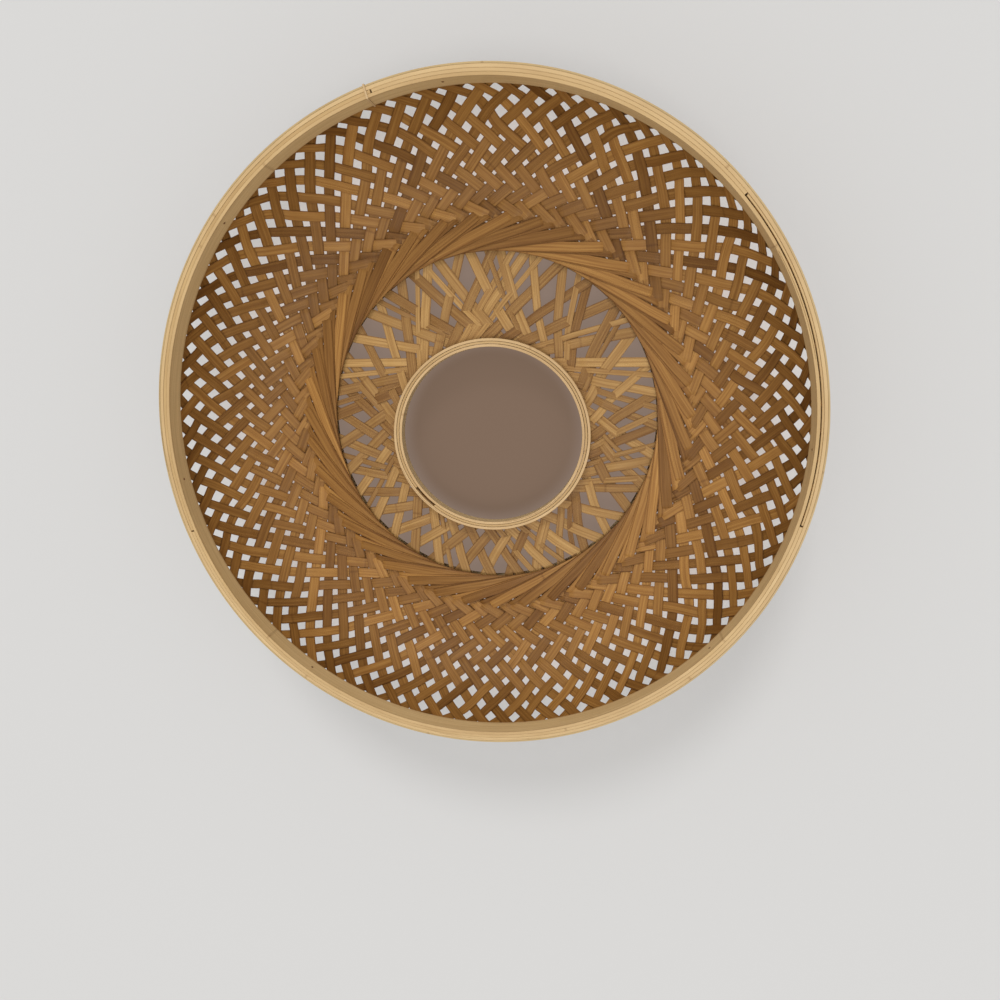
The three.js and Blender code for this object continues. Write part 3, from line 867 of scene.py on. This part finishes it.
def tie_piece():
    """A flat band of split cane round the rim's layers, its end meeting its start on top."""
    low, high = node_box("rim_tie")
    turn = math.atan2(*((low + high) / 2)[1::-1])
    half = TIE_THICKNESS / 2
    near = rim_inner_seat - RIM_INNER_THICKNESS - FIT_GAP - half
    far = rim_reach + FIT_GAP + half
    bottom, top = low[2] + half, high[2] - half
    r = TIE_CORNER
    outer, inner, upper, lower = far - r, near + r, top - r, bottom + r
    corners = ((outer, upper, 90), (outer, lower, 0), (inner, lower, -90), (inner, upper, -180))
    loop = [arc(x, z, r, r, start, start - 90, TIE_CORNER_STEPS) for x, z, start in corners]
    meeting = [((near + far) / 2, top)]
    loop = np.concatenate([meeting, *loop, meeting])
    way = np.gradient(loop, axis=0)
    way = way / np.linalg.norm(way, axis=1)[:, None]
    outward = np.array([math.cos(turn), math.sin(turn), 0])
    upward = np.array([0.0, 0.0, 1.0])
    aside = np.tile(np.cross(outward, upward), (len(loop), 1))
    centre = outward * loop[:, :1] + upward * loop[:, 1:]
    facing = -outward * way[:, 1:] + upward * way[:, :1]
    band = ([centre], [aside], [facing], TIE_WIDTH, TIE_THICKNESS)
    piece = make_splints("cane_tie", *band, THIN_CHAMFER, [TIE_NUMBER])
    dress(piece, cane, "tie", "rim_tie")


rim_pieces()
foot_pieces()
ring_pieces()
pegs = sorted(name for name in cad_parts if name.startswith("rim_peg"))
for i, name in enumerate(pegs):
    peg_piece(name, FIRST_PEG_NUMBER + i)
tie_piece()


# Floor, light and camera

FLOOR_HALF_METRES = 3.0
FLOOR_COLOUR = (0.6, 0.602, 0.606)
FLOOR_ROUGHNESS = 0.9
FLOOR_SHEEN = 0.2
# A reach is the two distances between which a shade or glow fades
FOOT_SHADE_COLOUR = (0.06, 0.04, 0.03)
FOOT_SHADE_REACH = (107, 112)  # from the foot's centre
HOLE_GLOW = (0.15, 0.1, 0.069)
HOLE_REACH = (50, 64)  # from the ring's centre
BASE_GAP_GLOW = (0.225, 0.165, 0.132)
WALL_GLOW = (0.3, 0.25, 0.22)  # the light that comes through the bowl's wall on to the floor
WALL_GLOW_REACH = (150, 215)  # from the middle of the basket


def pale_floor():
    """A pale floor, warm and darker inside the foot and lit a little through the wall round it. The
    camera alone sees these glows, so that they put no light on the basket."""
    mesh = bpy.data.meshes.new("floor")
    half = FLOOR_HALF_METRES
    corners = [(-half, -half, 0), (half, -half, 0), (half, half, 0), (-half, half, 0)]
    mesh.from_pydata(corners, [], [(0, 1, 2, 3)])
    floor = bpy.data.objects.new("floor", mesh)
    bpy.context.scene.collection.objects.link(floor)
    material = bpy.data.materials.new("pale floor")
    material.use_nodes = True
    tree = material.node_tree
    add, link = node_tree_tools(tree)
    shader = tree.nodes["Principled BSDF"]
    shader.inputs["Roughness"].default_value = FLOOR_ROUGHNESS
    shader.inputs["Specular IOR Level"].default_value = FLOOR_SHEEN
    place = add("ShaderNodeTexCoord")

    def faded_out(centre, reach):
        """1 round a centre, and fading to 0 over a reach."""
        distance = add("ShaderNodeVectorMath", operation="DISTANCE")
        link(place.outputs["Object"], distance.inputs[0])
        distance.inputs[1].default_value = (centre[0] * MM, centre[1] * MM, 0)
        fade = add("ShaderNodeMapRange", interpolation_type="SMOOTHSTEP")
        link(distance.outputs["Value"], fade.inputs[0])
        for i, number in enumerate((reach[0] * MM, reach[1] * MM, 1, 0)):
            fade.inputs[i + 1].default_value = number
        return fade.outputs[0]

    def mixed(factor, first, second):
        node = add("ShaderNodeMix", data_type="RGBA")
        link(factor, node.inputs[0])
        for socket, value in ((node.inputs[6], first), (node.inputs[7], second)):
            if isinstance(value, tuple):
                socket.default_value = (*value, 1)
            else:
                link(value, socket)
        return node.outputs[2]

    in_foot = faded_out(foot_centre, FOOT_SHADE_REACH)
    in_hole = faded_out(ring_centre, HOLE_REACH)
    under_wall = faded_out((0, 0), WALL_GLOW_REACH)
    link(mixed(in_foot, FLOOR_COLOUR, FOOT_SHADE_COLOUR), shader.inputs["Base Color"])
    through_wall = mixed(under_wall, BLACK, WALL_GLOW)
    through_base = mixed(in_hole, BASE_GAP_GLOW, HOLE_GLOW)
    link(mixed(in_foot, through_wall, through_base), shader.inputs["Emission Color"])
    seen = add("ShaderNodeLightPath")
    link(seen.outputs["Is Camera Ray"], shader.inputs["Emission Strength"])
    floor.data.materials.append(material)


WARM_WHITE = (1, 0.985, 0.96)
SKY_STRENGTH = 0.7
LIGHTS = (  # the way that each comes from, its strength, its spread in degrees and its colour
    ("front light", (0.1, -0.25, 1), 0.95, 28, WARM_WHITE),
    ("window light", (-0.1, 1.1, 1), 0.85, 16, (1, 0.99, 0.97)),
)


def sun_light(name, comes_from, strength, spread_deg, colour):
    data = bpy.data.lights.new(name, "SUN")
    data.energy = strength
    data.angle = math.radians(spread_deg)
    data.color = colour
    lamp = bpy.data.objects.new(name, data)
    lamp.rotation_euler = Vector(comes_from).to_track_quat("Z", "Y").to_euler()
    bpy.context.scene.collection.objects.link(lamp)


# The photograph was taken from above the bowl's mouth, askew to it
FOCAL_PIXELS = 750
PICTURE_PIXELS = 1000
SENSOR_WIDTH = 36
CAMERA_FROM_RIM = (72.5, 49.8, 404.5)  # from the centre of the rim's top
CAMERA_TILT_DEG = (-12.01, 8.15, 0)


def studio():
    scene = bpy.context.scene
    scene.view_settings.view_transform = "Standard"
    world = bpy.data.worlds.new("studio")
    world.use_nodes = True
    sky = world.node_tree.nodes["Background"]
    sky.inputs["Color"].default_value = (*WARM_WHITE, 1)
    sky.inputs["Strength"].default_value = SKY_STRENGTH
    scene.world = world
    for light in LIGHTS:
        sun_light(*light)

    camera = bpy.data.objects.new("camera", bpy.data.cameras.new("camera"))
    camera.data.sensor_width = SENSOR_WIDTH
    camera.data.lens = SENSOR_WIDTH * FOCAL_PIXELS / PICTURE_PIXELS
    camera.location = (Vector(CAMERA_FROM_RIM) + Vector((0, 0, rim_top))) * MM
    camera.rotation_euler = [math.radians(tilt) for tilt in CAMERA_TILT_DEG]
    scene.collection.objects.link(camera)
    scene.camera = camera


pale_floor()
studio()
